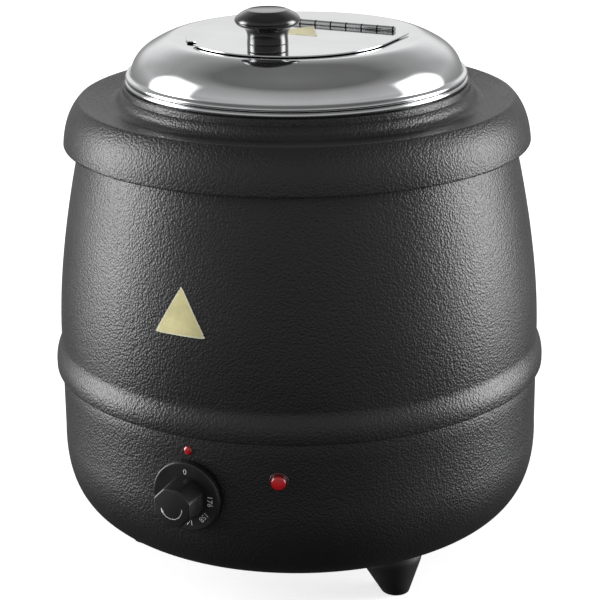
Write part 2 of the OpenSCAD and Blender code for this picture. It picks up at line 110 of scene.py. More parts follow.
def bend(a, b, c, count=12):
    """Quadratic curve from a to c with b as its corner, without its first point."""
    a, b, c = Vector(a), Vector(b), Vector(c)
    steps = [i / count for i in range(1, count + 1)]
    return [(1 - t) ** 2 * a + 2 * t * (1 - t) * b + t * t * c for t in steps]


def line(*points):
    return [Vector(p) for p in points]


def inset(outline, t):
    """The same open outline moved by t to its left, with mitred corners."""
    moved = []
    last = len(outline) - 1
    for i, point in enumerate(outline):
        back = (outline[max(i, 1)] - outline[max(i, 1) - 1]).normalized()
        ahead = (outline[min(i, last - 1) + 1] - outline[min(i, last - 1)]).normalized()
        way = (back + ahead).normalized()
        side = Vector((-way.y, way.x))
        moved.append(point + side * t / side.dot(Vector((-back.y, back.x))))
    return moved


def round_edge(a, b, outward):
    """Points of a rounded sheet edge that leads from a to b and stands out by a third of its width."""
    centre, half = (a + b) / 2, (a - b) / 2
    reach = outward * half.length * 2 / 3
    steps = [math.pi / 4 * k for k in (1, 2, 3)]
    return [centre + half * math.cos(t) + reach * math.sin(t) for t in steps]


def sheet(outer, t):
    """Closed section of sheet metal: outer face, inner face t to its left, and rounded edges off the axis."""
    inner = inset(outer, t)
    section = list(outer)
    if outer[-1].x > 0:
        section += round_edge(outer[-1], inner[-1], (outer[-1] - outer[-2]).normalized())
    section += inner[::-1]
    if outer[0].x > 0:
        section += round_edge(inner[0], outer[0], (outer[0] - outer[1]).normalized())
    return section


def circle(centre, radius, count=24, start=0.0, turn=2 * math.pi):
    steps = [start + turn * i / count for i in range(count)]
    return [Vector(centre) + radius * Vector((math.cos(t), math.sin(t))) for t in steps]


def upper_wall():
    """Outer face of the upper shell above its bead."""
    return bend((BELLY_R - 0.2, SEAM_Z + 21), (BELLY_R - 0.2, 218), (143, 303), 48)


def upper_shell_section():
    bead = line((BELLY_R + 0.1, SEAM_Z), (BEAD_R - 0.9, SEAM_Z))
    bead += bend((BEAD_R - 0.9, SEAM_Z), (BEAD_R, SEAM_Z), (BEAD_R, SEAM_Z + 1), 4)
    bead += line((BEAD_R, SEAM_Z + 5))
    bead += bend((BEAD_R, SEAM_Z + 5), (BEAD_R - 0.3, SEAM_Z + 11), (BEAD_R - 2.6, SEAM_Z + 15))
    bead += bend((BEAD_R - 2.6, SEAM_Z + 15), (BELLY_R - 0.2, SEAM_Z + 18), (BELLY_R - 0.2, SEAM_Z + 21))
    top = line((141.6, 308)) + bend((141.6, 308), (140.8, SEAT_Z), (136.6, SEAT_Z)) + line((127, SEAT_Z))
    return sheet(bead + upper_wall() + top, SHELL_T)


def lower_shell_section():
    wall = line((74, FLOOR_Z), (120, FLOOR_Z)) + bend((120, FLOOR_Z), (127, FLOOR_Z), (137.5, FLOOR_Z + 3))
    wall += bend((137.5, FLOOR_Z + 3), (BELLY_R + 2.1, FLOOR_Z + 13), (BELLY_R, FLOOR_Z + 60), 48)
    wall += line((BELLY_R - 0.15, SEAM_Z - 12), (BELLY_R - 0.3, SEAM_Z + 9))
    return sheet(wall, SHELL_T)


def collar_section():
    wall = line((COLLAR_R, COLLAR_Z))
    wall += bend((COLLAR_R, COLLAR_Z), (COLLAR_R - 1.5, COLLAR_Z + 18.5), (144.8, 321.2), 32)
    wall += bend((144.8, 321.2), (144, 321.8), (142.6, 321.6), 6) + line((135, 320.6), (127, 319.5))
    wall += bend((127, 319.5), (120.6, 318.7), (118.4, 323.2))
    wall += line((117, 326), (115.5, 327), (115.2, LEDGE_Z - 0.8))
    wall += bend((115.2, LEDGE_Z - 0.8), (115.2, LEDGE_Z), (114.2, LEDGE_Z), 4) + line((111.2, LEDGE_Z))
    return sheet(wall, COLLAR_T)


POT_R = 110.2
POT_CORNER = 22
RIM_R = 1.7


def pot_section():
    """The pot's outer face up to its rolled rim, round the rim, and back down its inner face."""
    flat_r = POT_R - POT_CORNER
    wall = line((0, POT_FLOOR_Z), (flat_r, POT_FLOOR_Z))
    wall += bend((flat_r, POT_FLOOR_Z), (POT_R, POT_FLOOR_Z), (POT_R, POT_FLOOR_Z + POT_CORNER), 20)
    wall += line((POT_R, LEDGE_Z - 2))
    rim = circle((POT_RIM_R - RIM_R, POT_TOP_Z - RIM_R), RIM_R, 20, math.radians(200), math.radians(320))
    return wall + rim + inset(wall, STEEL_T)[::-1]


LID_RIM_BEAD_R = 1.4
LID_LIP_R = 108.6


def lid_section():
    """The dome's outer face, its inner face and the locating lip, and round the rolled rim."""
    rim_z = POT_TOP_Z + 0.4 + LID_RIM_BEAD_R
    top = rim_z + LID_RIM_BEAD_R
    dome = bend((111, top), (109.8, top), (109.5, 339.6), 6)
    dome += bend((109.5, 339.6), (107.4, 349.4), (97.5, 355.2), 32)
    dome += bend((97.5, 355.2), (87.3, LID_TOP_Z), (82.5, LID_TOP_Z), 32)
    dome += line((82, LID_TOP_Z), (0, LID_TOP_Z))
    inner = inset(dome, STEEL_T)[::-1][:-1]
    lip_z = LEDGE_Z - 0.6
    lip_inner_r = LID_LIP_R - STEEL_T
    lip = line((lip_inner_r, 338.6), (lip_inner_r, lip_z), (LID_LIP_R, lip_z), (LID_LIP_R, 336.4))
    rim_centre = (LID_RIM_R - LID_RIM_BEAD_R, rim_z)
    rim = circle(rim_centre, LID_RIM_BEAD_R, 24, math.radians(170), math.radians(295))
    return dome + inner + lip + rim


# ---------------------------------------------------------------- meshes

def lathe(section, segments=SEGMENTS):
    """A closed solid turned round +Z from a closed section of (radius, height) points in mm."""
    mesh = bmesh.new()
    angles = [2 * math.pi * i / segments for i in range(segments)]
    turns = [(math.cos(angle), math.sin(angle)) for angle in angles]
    rings = []
    for point in section:
        radius, height = point.x * MM, point.y * MM
        if radius < MM * 0.001:
            rings.append([mesh.verts.new((0, 0, height))])
        else:
            rings.append([mesh.verts.new((radius * c, radius * s, height)) for c, s in turns])
    for here, there in zip(rings, rings[1:] + rings[:1]):
        if len(here) == 1 and len(there) == 1:
            continue
        for i in range(segments):
            j = (i + 1) % segments
            ring = [here[i % len(here)], here[j % len(here)], there[j % len(there)], there[i % len(there)]]
            mesh.faces.new(dict.fromkeys(ring))
    bmesh.ops.recalc_face_normals(mesh, faces=mesh.faces)
    return mesh


def prism(outline, low, high, rounding=0.0):
    """A flat plate in mm: its outline in XY, from height low to high, with its edges rounded."""
    mesh = bmesh.new()
    floor = mesh.faces.new([mesh.verts.new((p.x * MM, p.y * MM, low * MM)) for p in outline])
    raised = bmesh.ops.extrude_face_region(mesh, geom=[floor])["geom"]
    raised_verts = [part for part in raised if isinstance(part, bmesh.types.BMVert)]
    bmesh.ops.translate(mesh, vec=(0, 0, (high - low) * MM), verts=raised_verts)
    bmesh.ops.recalc_face_normals(mesh, faces=mesh.faces)
    if rounding:
        rims = [e for e in mesh.edges if any(len(f.verts) > 4 for f in e.link_faces)]
        bmesh.ops.bevel(mesh, geom=rims, offset=rounding * MM, segments=3, profile=0.5, affect="EDGES")
        plates = [f for f in mesh.faces if len(f.verts) > 4]
        bmesh.ops.inset_individual(mesh, faces=plates, thickness=rounding * MM)
    return mesh


def turned(mesh, matrix):
    bmesh.ops.transform(mesh, matrix=matrix, verts=mesh.verts)
    return mesh


def piece(name, mesh, material, body, replaces=(), sharp=38):
    """Makes an object of a bmesh that rides on a body and stands for the CAD nodes in replaces."""
    data = bpy.data.meshes.new(name)
    mesh.to_mesh(data)
    mesh.free()
    for face in data.polygons:
        face.use_smooth = True
    data.set_sharp_from_angle(angle=math.radians(sharp))
    data.materials.append(material)
    obj = bpy.data.objects.new(name, data)
    bpy.context.scene.collection.objects.link(obj)
    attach(obj, body)
    if replaces:
        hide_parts(*replaces)
    return obj


def cut(obj, tool_mesh):
    """Cuts tool_mesh out of obj for good."""
    tool_data = bpy.data.meshes.new("tool")
    tool_mesh.to_mesh(tool_data)
    tool_mesh.free()
    tool = bpy.data.objects.new("tool", tool_data)
    bpy.context.scene.collection.objects.link(tool)
    change = obj.modifiers.new("cut", "BOOLEAN")
    change.operation = "DIFFERENCE"
    change.solver = "EXACT"
    change.object = tool
    graph = bpy.context.evaluated_depsgraph_get()
    result = bpy.data.meshes.new_from_object(obj.evaluated_get(graph))
    obj.modifiers.clear()
    result.name = obj.name
    obj.data = result
    obj.data.set_sharp_from_angle(angle=math.radians(38))
    bpy.data.objects.remove(tool)


TURN_LID = Matrix.Rotation(LID_TURN, 4, "Z")
FACE_FRONT = Matrix.Rotation(math.pi / 2, 4, "X")      # +Z of a drawing comes to face -Y, and +Y comes up


def from_front(angle_deg, radius, height):
    """Places a part drawn round +Z on the body: out to a radius, turned from the front, facing out. In mm."""
    turn = Matrix.Rotation(math.radians(angle_deg), 4, "Z")
    return turn @ Matrix.Translation((0, -radius * MM, height * MM)) @ FACE_FRONT


# ---------------------------------------------------------------- materials

def node(tree, kind, inputs=None, **settings):
    """A shader node; an input is set to a value or linked from a socket."""
    made = tree.nodes.new("ShaderNode" + kind)
    for name, value in settings.items():
        setattr(made, name, value)
    for name, value in (inputs or {}).items():
        if isinstance(value, bpy.types.NodeSocket):
            tree.links.new(value, made.inputs[name])
        else:
            made.inputs[name].default_value = value
    return made


def ramp(tree, factor, *stops):
    """Colour ramp through (position, (r, g, b)) stops."""
    made = node(tree, "ValToRGB", {"Fac": factor})
    elements = made.color_ramp.elements
    while len(elements) < len(stops):
        elements.new(0.5)
    for element, (position, colour) in zip(elements, stops):
        element.position = position
        element.color = (*colour, 1)
    return made.outputs["Color"]


def remap(tree, value, low, high, from_low=0.0, from_high=1.0):
    return node(tree, "MapRange", {"Value": value, "From Min": from_low, "From Max": from_high,
                                   "To Min": low, "To Max": high}).outputs["Result"]


def start(name, **constants):
    """A new material with a Principled shader; constants are set on the shader's own sockets."""
    material = bpy.data.materials.new(name)
    material.use_nodes = True
    tree = material.node_tree
    tree.nodes.clear()
    settings = {key.replace("_", " ").title().replace("Ior", "IOR"): value
                for key, value in constants.items()}
    shader = node(tree, "BsdfPrincipled", settings)
    node(tree, "OutputMaterial", {"Surface": shader.outputs["BSDF"]})
    place = node(tree, "TexCoord").outputs["Object"]
    return material, tree, shader, place


def scaled(colour, factor):
    return tuple(min(1.0, c * factor) for c in colour)


def edge_wear(tree, low=0.52, high=0.6):
    """0 on flat and hollow surfaces, rising to 1 on outer edges."""
    point = node(tree, "NewGeometry").outputs["Pointiness"]
    return remap(tree, point, 0.0, 1.0, low, high)


def moulded(name, colour, roughness, grain_mm=0.6, depth_mm=0.01, spread=0.12, wear=0.25, **constants):
    """Plastic, rubber, ceramic or paint: fine grain, cloudy colour, uneven gloss and rubbed edges."""
    material, tree, shader, place = start(name, **constants)
    cloud = node(tree, "TexNoise", {"Vector": place, "Scale": 45.0, "Detail": 4.0}).outputs["Fac"]
    grain_scale = 1 / (grain_mm * MM)
    grain = node(tree, "TexNoise", {"Vector": place, "Scale": grain_scale, "Detail": 3.0}).outputs["Fac"]
    tint = ramp(tree, cloud, (0.3, scaled(colour, 0.8)), (0.7, scaled(colour, 1.25)))
    rubbed = node(tree, "Mix", {"Factor": remap(tree, edge_wear(tree), 0.0, wear), "A": tint,
                                "B": (*[min(1.0, c * 1.6 + 0.03) for c in colour], 1)}, data_type="RGBA")
    tree.links.new(rubbed.outputs[2], shader.inputs["Base Color"])
    gloss = remap(tree, cloud, roughness * (1 - spread), roughness * (1 + spread), 0.3, 0.7)
    tree.links.new(gloss, shader.inputs["Roughness"])
    bump = node(tree, "Bump", {"Height": grain, "Strength": 1.0, "Distance": depth_mm * MM})
    tree.links.new(bump.outputs["Normal"], shader.inputs["Normal"])
    return material


def metal(name, colour, roughness, brush_mm=(0.3, 0.3, 0.3), depth_mm=0.002, spread=0.3, **constants):
    """Bare metal: fine scratches drawn out along the brushing direction, smudges that change its gloss."""
    material, tree, shader, place = start(name, metallic=1.0, **constants)
    per_metre = tuple(1 / (length * MM) for length in brush_mm)
    stretched = node(tree, "VectorMath", {0: place, 1: per_metre}, operation="MULTIPLY").outputs[0]
    scratch = node(tree, "TexNoise", {"Vector": stretched, "Scale": 1.0, "Detail": 5.0}).outputs["Fac"]
    cloudy = {"Vector": place, "Scale": 22.0, "Detail": 5.0, "Distortion": 0.6}
    smudge = node(tree, "TexNoise", cloudy).outputs["Fac"]
    tint = ramp(tree, smudge, (0.35, scaled(colour, 0.93)), (0.65, scaled(colour, 1.04)))
    tree.links.new(tint, shader.inputs["Base Color"])
    smudged = remap(tree, smudge, roughness * (1 - spread), roughness * (1 + spread), 0.35, 0.65)
    scratched = remap(tree, scratch, -roughness * 0.25, roughness * 0.25)
    gloss = node(tree, "Math", {0: smudged, 1: scratched}, operation="ADD")
    tree.links.new(gloss.outputs[0], shader.inputs["Roughness"])
    bump = node(tree, "Bump", {"Height": scratch, "Strength": 1.0, "Distance": depth_mm * MM})
    tree.links.new(bump.outputs["Normal"], shader.inputs["Normal"])
    return material


PEBBLE_MM = 1.5
PEBBLE_DEPTH_MM = 0.3


def pebbled_enamel():
    """Black enamel with a fine pebble grain, as on the shells and the collar."""
    colour = (0.0125, 0.0125, 0.0135)
    material, tree, shader, place = start("pebbled_enamel", specular_ior_level=0.5)
    warp = node(tree, "TexNoise", {"Vector": place, "Scale": 260.0, "Detail": 2.0})
    half = (0.5, 0.5, 0.5)
    shift = node(tree, "VectorMath", {0: warp.outputs["Color"], 1: half}, operation="SUBTRACT").outputs[0]
    nudge = node(tree, "VectorMath", {0: shift, "Scale": 1.3 * MM}, operation="SCALE").outputs[0]
    wavy = node(tree, "VectorMath", {0: place, 1: nudge}, operation="ADD").outputs[0]
    cells = {"Vector": wavy, "Scale": 1 / (PEBBLE_MM * MM), "Smoothness": 0.4}
    pebble = node(tree, "TexVoronoi", cells, feature="SMOOTH_F1").outputs["Distance"]
    fine = node(tree, "TexNoise", {"Vector": place, "Scale": 1400.0, "Detail": 2.0}).outputs["Fac"]
    cloud = node(tree, "TexNoise", {"Vector": place, "Scale": 14.0, "Detail": 4.0}).outputs["Fac"]
    grain = node(tree, "Mix", {"Factor": 0.12, "A": pebble, "B": fine}).outputs[0]
    relief = {"Height": grain, "Strength": 1.0, "Distance": PEBBLE_DEPTH_MM * MM}
    bump = node(tree, "Bump", relief, invert=True)
    tree.links.new(bump.outputs["Normal"], shader.inputs["Normal"])
    tint = ramp(tree, cloud, (0.3, scaled(colour, 0.85)), (0.7, scaled(colour, 1.2)))
    rubbed = node(tree, "Mix", {"Factor": remap(tree, edge_wear(tree, 0.53, 0.62), 0.0, 0.35), "A": tint,
                                "B": (0.045, 0.045, 0.047, 1)}, data_type="RGBA")
    tree.links.new(rubbed.outputs[2], shader.inputs["Base Color"])
    crown = remap(tree, pebble, 0.26, 0.4, 0.1, 0.6)
    haze = remap(tree, cloud, -0.03, 0.03, 0.3, 0.7)
    gloss = node(tree, "Math", {0: crown, 1: haze}, operation="ADD").outputs[0]
    tree.links.new(gloss, shader.inputs["Roughness"])
    return material


def lamp_glass(middle_point):
    """Red lens: bright in its middle and dark towards its rim. middle_point is on its axis, in metres."""
    material, tree, shader, place = start("lamp_glass", roughness=0.12, coat_weight=1.0, coat_roughness=0.04,
                                          emission_strength=0.22)
    off = node(tree, "VectorMath", {0: place, 1: middle_point}, operation="DISTANCE").outputs["Value"]
    flute = node(tree, "TexVoronoi", {"Vector": place, "Scale": 900.0}).outputs["Distance"]
    outward_share = remap(tree, off, 0.0, 1.0, 1.5 * MM, 6.4 * MM)
    glow = ramp(tree, outward_share, (0.0, (0.5, 0.004, 0.008)), (0.5, (0.36, 0.004, 0.008)),
                (0.72, (0.07, 0.003, 0.004)), (1.0, (0.03, 0.003, 0.004)))
    tree.links.new(glow, shader.inputs["Base Color"])
    tree.links.new(glow, shader.inputs["Emission Color"])
    bump = node(tree, "Bump", {"Height": flute, "Strength": 0.5, "Distance": 0.12 * MM})
    tree.links.new(bump.outputs["Normal"], shader.inputs["Normal"])
    return material


def wire_insulation():
    """Brown, blue and green wires, told apart by how far out they lie."""
    material, tree, shader, place = start("wire_insulation", roughness=0.38)
    flat = node(tree, "VectorMath", {0: place, 1: (1, 1, 0)}, operation="MULTIPLY").outputs[0]
    out = node(tree, "VectorMath", {0: flat}, operation="LENGTH").outputs["Value"]
    outward_share = remap(tree, out, 0.0, 1.0, 106 * MM, 118 * MM)
    hue = ramp(tree, outward_share, (0.0, (0.07, 0.3, 0.05)), (0.29, (0.02, 0.1, 0.45)),
               (0.62, (0.2, 0.07, 0.02)))
    hue.node.color_ramp.interpolation = "CONSTANT"
    tree.links.new(hue, shader.inputs["Base Color"])
    scuff = node(tree, "TexNoise", {"Vector": place, "Scale": 700.0, "Detail": 3.0}).outputs["Fac"]
    tree.links.new(remap(tree, scuff, 0.3, 0.5), shader.inputs["Roughness"])
    bump = node(tree, "Bump", {"Height": scuff, "Strength": 1.0, "Distance": 0.01 * MM})
    tree.links.new(bump.outputs["Normal"], shader.inputs["Normal"])
    return material


POLISHED_COLOUR = (0.74, 0.745, 0.755)
KNUCKLE_W = 11.3
HINGE_START = -55.5


def hinge_steel():
    """Polished hinge barrel with painted shade: a dark line where two knuckles meet, standing in for the
    shadow in the gap between them.
    """
    material = metal("hinge_steel", POLISHED_COLOUR, 0.1, depth_mm=0.0008)
    tree = material.node_tree
    place = node(tree, "TexCoord").outputs["Object"]
    way = tuple(-part for part in HINGE_AXIS)
    along = node(tree, "VectorMath", {0: place, 1: way}, operation="DOT_PRODUCT").outputs["Value"]
    past_end = node(tree, "Math", {0: along, 1: HINGE_START * MM}, operation="SUBTRACT").outputs[0]
    off_joint = node(tree, "Math", {0: past_end, 1: KNUCKLE_W / 2 * MM}, operation="PINGPONG").outputs[0]
    # painted shade: the steel darkens near each knuckle joint, in place of the shadow in the gap between the
    # knuckles
    gap_shade = remap(tree, off_joint, 1.0, 0.0, 0.35 * MM, 0.65 * MM)
    colour_input = tree.nodes["Principled BSDF"].inputs["Base Color"]
    steel = colour_input.links[0].from_socket
    shaded_steel = node(tree, "Mix", {"Factor": gap_shade, "A": steel, "B": (0.02, 0.018, 0.016, 1)}, data_type="RGBA")
    tree.links.new(shaded_steel.outputs[2], colour_input)
    return material


enamel = pebbled_enamel()
polished = metal("polished_steel", POLISHED_COLOUR, 0.07, depth_mm=0.0008)
barrel = hinge_steel()
brushed = metal("brushed_steel", (0.6, 0.6, 0.61), 0.24, brush_mm=(1.2, 1.2, 0.12), depth_mm=0.004)
zinc_plate = metal("zinc_plate", (0.5, 0.51, 0.53), 0.36, brush_mm=(1.5, 1.5, 1.5), depth_mm=0.01)
sheath = metal("heater_sheath", (0.27, 0.24, 0.2), 0.42, depth_mm=0.01)
copper = metal("copper_tube", (0.72, 0.36, 0.2), 0.28)
brass = metal("brass_stud", (0.7, 0.5, 0.2), 0.3)
gloss_black = moulded("gloss_black", (0.008, 0.008, 0.009), 0.16, grain_mm=1.5, depth_mm=0.002, wear=0.1,
                      coat_weight=0.6, coat_roughness=0.05)
satin_black = moulded("satin_black", (0.014, 0.014, 0.015), 0.33, grain_mm=0.35, depth_mm=0.012)
rubber = moulded("foot_rubber", (0.012, 0.012, 0.012), 0.5, grain_mm=0.5, depth_mm=0.03, spread=0.2)
black_nylon = moulded("black_nylon", (0.016, 0.016, 0.017), 0.42)
phenolic = moulded("phenolic", (0.05, 0.035, 0.022), 0.4)
control_cream = moulded("control_cream", (0.62, 0.56, 0.42), 0.45)
ceramic = moulded("ceramic", (0.75, 0.7, 0.58), 0.35)
label_face = moulded("label_face", (0.74, 0.68, 0.36), 0.34, grain_mm=0.8, depth_mm=0.004, wear=0.0,
                     metallic=0.25)
label_rim = moulded("label_rim", (0.86, 0.83, 0.62), 0.3, grain_mm=0.8, depth_mm=0.004, wear=0.0,
                    metallic=0.2)
white_ink = moulded("white_ink", (0.72, 0.72, 0.7), 0.45, grain_mm=0.3, depth_mm=0.006, wear=0.0)
red_bead = moulded("red_bead", (0.42, 0.006, 0.012), 0.14, depth_mm=0.002, coat_weight=1.0)
wires = wire_insulation()


# ---------------------------------------------------------------- CAD nodes that stay, with their finishes

KEPT = {
    zinc_plate: ["base_plate", "base_screws", "foot_bolts", "foot_nuts", "well_screws", "heater_clamp",
                 "heater_nut", "cutout_screws", "thermostat_bracket", "thermostat_screws", "lamp_nut",
                 "terminal_screw"],
    brushed: ["water_well", "bulb_clip", "dial_shaft", "knob_screw", "knob_washer"],
    polished: ["hinge_pin"],
    barrel: ["lid_hinge_leaf", "flap_hinge_leaf"],
    sheath: ["heater_ring"],
    phenolic: ["thermal_cutout"],
    control_cream: ["thermostat_body"],
    copper: ["thermostat_bulb"],
    black_nylon: ["lamp_body", "cord_gland", "gland_cap", "gland_nut"],
    ceramic: ["terminal_block"],
    brass: ["earth_stud"],
    wires: ["wiring"],
}
for material, names in KEPT.items():
    for name in names:
        for slot in frame["nodes"][name].material_slots:
            slot.material = material


# ---------------------------------------------------------------- housing, collar and pot

piece("upper_shell_skin", lathe(upper_shell_section()), enamel, "housing", ["upper_shell"])
piece("lower_shell_skin", lathe(lower_shell_section()), enamel, "housing", ["lower_shell"])
piece("collar_skin", lathe(collar_section()), enamel, "collar", ["collar"])
pot_skin = piece("pot_skin", lathe(pot_section()), brushed, "pot", ["pot"])
pot_skin.data.materials.append(polished)
for face in pot_skin.data.polygons:
    if face.center.z > (LEDGE_Z - 3) * MM:
        face.material_index = 1


# ---------------------------------------------------------------- feet

FOOT_RING = 112
FOOT_LEAN = math.radians(12)
FOOT_R = 9


def foot(node_name, angle):
    """A leaning rubber foot that flares up to the shell, cut off level at the floor and at the shell."""
    top_r = FOOT_R + 11
    section = line((0, -6), (FOOT_R - 3, -6), (FOOT_R - 1.6, -3.2), (FOOT_R + 10, 20))
    section += bend((FOOT_R + 10, 20), (top_r, 22), (top_r, 24)) + line((top_r, 45), (0, 45))
    mesh = lathe(section, 96)
    spot = Matrix.Rotation(angle, 4, "Z") @ Matrix.Translation((0, -FOOT_RING * MM, 0))
    turned(mesh, spot @ Matrix.Rotation(-FOOT_LEAN, 4, "X"))
    for level, up in ((0.0, -1), (FLOOR_Z * MM, 1)):
        whole = list(mesh.verts) + list(mesh.edges) + list(mesh.faces)
        made = bmesh.ops.bisect_plane(mesh, geom=whole, plane_co=(0, 0, level), plane_no=(0, 0, up),
                                      clear_outer=True)["geom_cut"]
        bmesh.ops.holes_fill(mesh, edges=[e for e in made if isinstance(e, bmesh.types.BMEdge)], sides=0)
    rim = [e for e in mesh.edges if all(abs(v.co.z) < 1e-6 for v in e.verts)]
    bmesh.ops.bevel(mesh, geom=rim, offset=0.8 * MM, segments=3, profile=0.5, affect="EDGES")
    bmesh.ops.recalc_face_normals(mesh, faces=mesh.faces)
    piece(node_name + "_skin", mesh, rubber, "housing", [node_name])


for foot_name in ("foot_front_right", "foot_front_left", "foot_rear"):
    spot = middle(foot_name)
    foot(foot_name, math.atan2(spot.x, -spot.y))


# ---------------------------------------------------------------- lid and flap

FLAP_SHIFT = 1
ROUND_Y = -10
OPENING_R = 60
FLAP_R = 68.5
NOTCH_TURN = math.radians(-38.5)
NOTCH_RING = 77
NOTCH_R = 6


def rim_outline(radius, rear_y, notch_ring, notch_in):
    """Outline, in mm on the lid, of a plate with a half-round front and a straight rear edge, with the ladle
    notch added to it, or taken from it if notch_in."""
    centre = Vector((FLAP_SHIFT, ROUND_Y))
    notch = Vector((math.sin(NOTCH_TURN), -math.cos(NOTCH_TURN))) * notch_ring
    outline = []
    for i in range(720):
        way = Vector((math.cos(i * math.pi / 360), math.sin(i * math.pi / 360)))
        reach = radius
        if way.y > 0:
            reach = min(radius / max(abs(way.x), 1e-6), (rear_y - centre.y) / way.y)
        along = (notch - centre).dot(way)
        room = along ** 2 - (notch - centre).length_squared + NOTCH_R ** 2
        if along > 0 and room > 0:
            if notch_in:
                reach = min(reach, along - math.sqrt(room))
            else:
                reach = max(reach, along + math.sqrt(room))
        outline.append(centre + way * reach)
    return outline


lid_mesh = turned(lathe(lid_section()), TURN_LID)
lid_skin = piece("lid_dome_skin", lid_mesh, polished, "lid", ["lid_dome"])
opening = rim_outline(OPENING_R, HINGE_Y + 0.9, NOTCH_RING - NOTCH_R, False)
cut(lid_skin, turned(prism(opening, LID_TOP_Z - 3, LID_TOP_Z + 3), TURN_LID))

flap_outline = rim_outline(FLAP_R, HINGE_Y - 2.5, NOTCH_RING, True)
flap_mesh = turned(prism(flap_outline, FLAP_Z, FLAP_TOP_Z, 0.2), TURN_LID)
piece("flap_plate_skin", flap_mesh, polished, "flap", ["flap_plate"])


def knob_section():
    base_r = 13.1
    section = line((0, 0), (base_r - 0.5, 0), (base_r, 0.5), (base_r, 4.6))
    section += line((base_r - 0.4, 5), (base_r, 5.4), (base_r - 0.2, 8.6))
    section += bend((base_r - 0.2, 8.6), (base_r, 14.4), (KNOB_R - 3, 15.9), 16)
    section += bend((KNOB_R - 3, 15.9), (KNOB_R, 17), (KNOB_R, 19.5), 12)
    section += bend((KNOB_R, 19.5), (KNOB_R - 0.8, 22.6), (13.4, 25.5), 20)
    section += bend((13.4, 25.5), (12.4, 26.1), (11.4, 25.5), 8) + bend((11.4, 25.5), (8, 24.8), (0, 24.8), 8)
    return section


knob_place = Matrix.Translation(Vector((KNOB_MIDDLE.x, KNOB_MIDDLE.y, KNOB_BASE_Z)) * MM)
knob_mesh = turned(lathe(knob_section(), 128), knob_place)
piece("lid_knob_skin", knob_mesh, gloss_black, "flap", ["lid_knob"])


# ---------------------------------------------------------------- lamp, pointer and labels

LAMP_BASE_MM = 0.1


def lamp_section():
    section = line((0, 0), (6.2, 0), (6.2, 0.7)) + bend((6.2, 0.7), (6.2, 1.1), (5.8, 1.1), 4)
    section += line((5.1, 1.1), (4.9, 1.4), (4.7, 3.0)) + bend((4.7, 3.0), (4.5, 4.2), (3.2, 4.4))
    section += bend((3.2, 4.4), (1.6, 4.6), (0, 4.6), 6)
    return section


lamp_spot = middle("lamp_body")
LAMP_ANGLE = math.degrees(math.atan2(lamp_spot.x, -lamp_spot.y))
WALL_R = BELLY_R - 0.2
lamp_front = from_front(LAMP_ANGLE, WALL_R + 4, lamp_spot.z) @ Vector((0, 0, 0))
lamp_mesh = turned(lathe(lamp_section(), 96), from_front(LAMP_ANGLE, WALL_R + LAMP_BASE_MM, lamp_spot.z))
piece("lamp_lens_skin", lamp_mesh, lamp_glass(tuple(lamp_front)), "housing", ["lamp_lens"])

bead_r = corners("pointer_dot")[1].x
bead_section = line((0, -0.3), (bead_r, -0.3)) + bend((bead_r, -0.3), (bead_r, 1.3), (0, 1.3), 12)
bead_mesh = turned(lathe(bead_section, 64), from_front(0, WALL_R, middle("pointer_dot").z))
piece("pointer_bead", bead_mesh, red_bead, "housing", ["pointer_dot"])

LABEL_SIDE = 36
LABEL_RINGS = [1.0, 0.97, 0.93, 0.9, 0.75, 0.6, 0.45, 0.3, 0.15]
LABEL_T = 0.2


def label_outline(corner_r=0.9, count=8):
    """Triangle with rounded corners, its base centred on the origin and its tip to +Y, in mm."""
    tip = LABEL_SIDE * math.sqrt(3) / 2
    corner_spots = [Vector((-LABEL_SIDE / 2, 0)), Vector((LABEL_SIDE / 2, 0)), Vector((0, tip))]
    centre = sum(corner_spots, Vector((0, 0))) / 3
    outline = []
    for i, spot in enumerate(corner_spots):
        inner = spot + (centre - spot).normalized() * corner_r * 2
        start_angle = math.radians(-150 + 120 * i)
        arc = [inner + corner_r * Vector((math.cos(start_angle + t), math.sin(start_angle + t)))
               for t in [math.radians(120) * k / count for k in range(count + 1)]]
        following = corner_spots[(i + 1) % 3]
        outline += arc
        next_inner = following + (centre - following).normalized() * corner_r * 2
        side = (following - spot).normalized()
        out = Vector((side.y, -side.x)) * corner_r
        outline += [inner.lerp(next_inner, k / 16) + out for k in range(1, 16)]
    return outline, centre


def label(name, body, replaced, surface):
    """A blank foil label with a paler rim; surface maps (x, y, out) in mm to a place in metres."""
    outline, centre = label_outline()
    mesh = bmesh.new()
    layers = []
    for out in (LABEL_T, -LABEL_T):
        rings = []
        for share in LABEL_RINGS:
            shrunk = [centre + (point - centre) * share for point in outline]
            rings.append([mesh.verts.new(surface(*point, out)) for point in shrunk])
        hub = mesh.verts.new(surface(*centre, out))
        for outer, inner in zip(rings, rings[1:]):
            for i in range(len(outline)):
                j = (i + 1) % len(outline)
                mesh.faces.new((outer[i], outer[j], inner[j], inner[i]))
        for i in range(len(outline)):
            mesh.faces.new((rings[-1][i], rings[-1][(i + 1) % len(outline)], hub))
        layers.append(rings[0])
    for i in range(len(outline)):
        j = (i + 1) % len(outline)
        mesh.faces.new((layers[0][i], layers[0][j], layers[1][j], layers[1][i]))
    bmesh.ops.recalc_face_normals(mesh, faces=mesh.faces)
    mesh.faces.ensure_lookup_table()
    rim_faces = len(outline) * 2
    made = piece(name, mesh, label_face, body, [replaced])
    made.data.materials.append(label_rim)
    for face in made.data.polygons:
        if face.index < rim_faces:
            face.material_index = 1


wall_points = upper_wall()


def wall_radius(height):
    """Radius of the upper shell's outer face at a height, in mm."""
    for below, above in zip(wall_points, wall_points[1:]):
        if below.y <= height <= above.y:
            return below.x + (above.x - below.x) * (height - below.y) / (above.y - below.y)
    return wall_points[0].x


body_label_z = corners("body_label")[0].z
flap_label_middle = middle("flap_label")
LABEL_TURN = Matrix.Rotation(math.radians(-1.7), 3, "Z")


